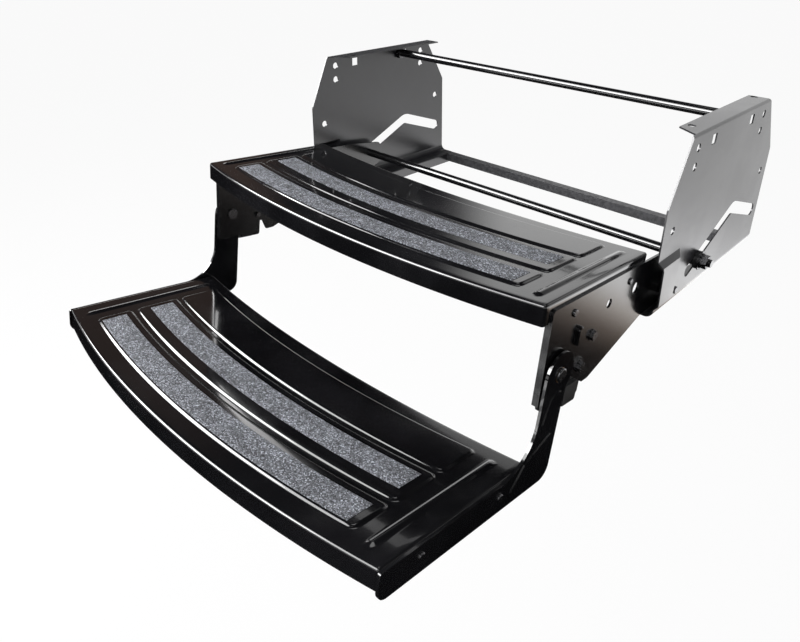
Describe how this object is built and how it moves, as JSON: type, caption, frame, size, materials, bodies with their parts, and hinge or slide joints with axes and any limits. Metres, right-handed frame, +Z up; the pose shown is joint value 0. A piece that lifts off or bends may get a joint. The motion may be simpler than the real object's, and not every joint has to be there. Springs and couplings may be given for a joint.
{
  "type": "camper entry step",
  "caption": "Folding entry step for a camper: bowed treads with grit strips on a carriage that slides in slotted side plates; the lower step folds over the upper.",
  "frame": {"origin": "centre of the four bolt holes in the frame's top flanges, on their top face", "axes": "+X to the right of the step as seen by someone standing in front of it, -Y towards that person, +Z up; the step is unfolded, as in the picture"},
  "size_m": [0.6922, 0.8602, 0.3629],
  "materials": {
    "gloss_black_steel": "gloss black powder coat",
    "satin_black_steel": "satin black paint with soft reflections",
    "black_fasteners": "black coated steel",
    "grit_tape": "coarse charcoal grit with pale grains",
    "black_plastic": "hard black nylon",
    "bush_bronze": "plain bearing bronze"
  },
  "bodies": {
    "frame": {"right_side_plate": "satin_black_steel", "left_side_plate": "satin_black_steel", "top_cross_rod": "gloss_black_steel", "top_rod_nuts": "black_fasteners", "rear_cross_bar": "gloss_black_steel", "glide_pads": "black_plastic", "glide_rivets": "black_fasteners"},
    "carriage": {"upper_tread": "gloss_black_steel", "upper_grip_front": "grit_tape", "upper_grip_rear": "grit_tape", "right_carriage_bracket": "gloss_black_steel", "left_carriage_bracket": "gloss_black_steel", "upper_tread_rivets": "black_fasteners", "bracket_bolts": "black_fasteners", "stop_backings": "gloss_black_steel", "right_stop_pad": "black_plastic", "left_stop_pad": "black_plastic", "stop_bolts": "black_fasteners", "carriage_rod": "gloss_black_steel", "rod_washers": "black_fasteners", "rod_nuts": "black_fasteners", "pivot_pins": "black_fasteners", "pivot_spacers": "black_plastic"},
    "lower_step": {"lower_tread": "gloss_black_steel", "lower_grip_front": "grit_tape", "lower_grip_rear": "grit_tape", "right_step_arm": "gloss_black_steel", "left_step_arm": "gloss_black_steel", "lower_tread_rivets": "black_fasteners", "arm_bushes": "bush_bronze"},
    "right_roller": {"right_slot_roller": "black_plastic"},
    "left_roller": {"left_slot_roller": "black_plastic"}
  },
  "joints": [
    {"name": "carriage_slide", "type": "slide", "parent": "frame", "child": "carriage", "axis": [0, 0.9205, 0.3907], "range_m": [0, 0.108]},
    {"name": "lower_step_fold", "type": "hinge", "parent": "carriage", "child": "lower_step", "pos_m": [0, -0.375, -0.222], "axis": [-1, 0, 0], "range_deg": [0, 177]},
    {"name": "right_roller_spin", "type": "hinge", "parent": "carriage", "child": "right_roller", "pos_m": [0.3243, -0.05491, -0.19162], "axis": [1, 0, 0], "continuous": true},
    {"name": "left_roller_spin", "type": "hinge", "parent": "carriage", "child": "left_roller", "pos_m": [-0.3243, -0.05491, -0.19162], "axis": [1, 0, 0], "continuous": true}
  ],
  "couplings": [
    {"joint": "right_roller_spin", "follows": "carriage_slide", "rad_per_m": -111.73},
    {"joint": "left_roller_spin", "follows": "carriage_slide", "rad_per_m": -111.73}
  ]
}
